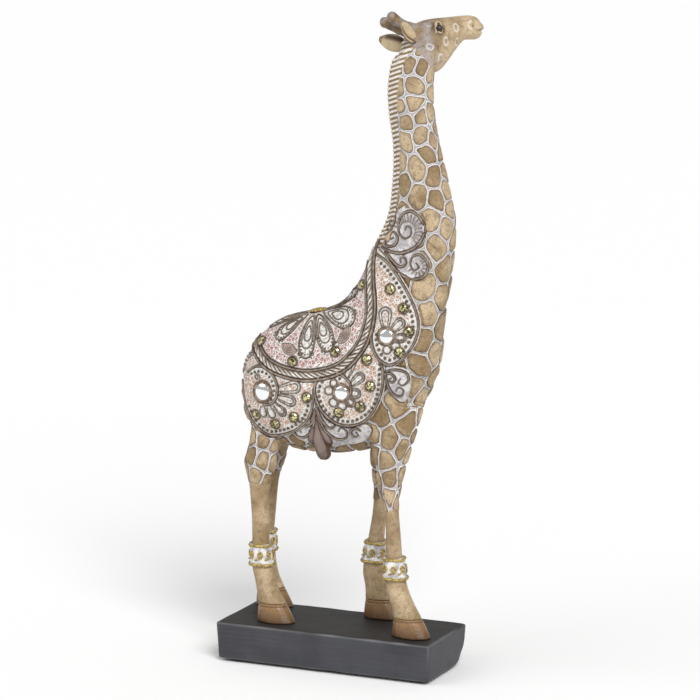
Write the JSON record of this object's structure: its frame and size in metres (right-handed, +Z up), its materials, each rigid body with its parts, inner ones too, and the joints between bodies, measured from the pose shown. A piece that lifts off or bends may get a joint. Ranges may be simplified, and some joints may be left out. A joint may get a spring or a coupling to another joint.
{
  "type": "giraffe figurine",
  "caption": "Standing giraffe figurine on a rectangular plinth, cast and painted, with a relief saddle cloth inlaid with mirrors and cut stones.",
  "frame": {"origin": "centre of the plinth's footprint, on the plane that the part stands on", "axes": "+Z up, +X the way the giraffe's body faces along the plinth, +Y to the giraffe's left"},
  "size_m": [0.1771, 0.09, 0.4825],
  "materials": {
    "slate_paint": "satin",
    "pad_foam": "matte",
    "pin_steel": "satin",
    "eye_gloss": "gloss",
    "mirror_glass": "polished",
    "stone_glass": "polished",
    "gold_wash": "satin",
    "hoof_brown": "satin",
    "rose_cloth": "satin",
    "rope_taupe": "satin",
    "peach_cloth": "satin",
    "scroll_wash": "satin",
    "patched_hide": "satin",
    "mane_wash": "satin",
    "hide_tan": "satin"
  },
  "bodies": {
    "root": {"plinth": "slate_paint", "plinth_pads": "pad_foam", "leg_pins": "pin_steel", "torso": "hide_tan", "neck": "patched_hide", "head": "hide_tan", "mane": "mane_wash", "tail": "hide_tan", "ear_right": "hide_tan", "ear_left": "hide_tan", "ossicone_right": "hide_tan", "ossicone_left": "hide_tan", "eye_right": "eye_gloss", "eye_left": "eye_gloss", "foreleg_right": "hide_tan", "foreleg_left": "hide_tan", "hindleg_right": "hide_tan", "hindleg_left": "hide_tan", "hoof_fore_right": "hoof_brown", "hoof_fore_left": "hoof_brown", "hoof_hind_right": "hoof_brown", "hoof_hind_left": "hoof_brown", "anklet_fore_right": "gold_wash", "anklet_fore_left": "gold_wash", "anklet_hind_right": "gold_wash", "anklet_hind_left": "gold_wash", "back_panel": "rose_cloth", "back_rosette": "gold_wash", "rope_border": "rope_taupe", "front_lobe_right": "peach_cloth", "front_lobe_left": "peach_cloth", "middle_lobe_right": "peach_cloth", "middle_lobe_left": "peach_cloth", "rear_lobe_right": "peach_cloth", "rear_lobe_left": "peach_cloth", "neck_scrolls_right": "scroll_wash", "neck_scrolls_left": "scroll_wash", "shoulder_scroll_right": "scroll_wash", "shoulder_scroll_left": "scroll_wash", "belly_fleur_right": "scroll_wash", "belly_fleur_left": "scroll_wash", "mirrors_right": "mirror_glass", "mirrors_left": "mirror_glass", "stones_right": "stone_glass", "stones_left": "stone_glass"}
  },
  "joints": []
}
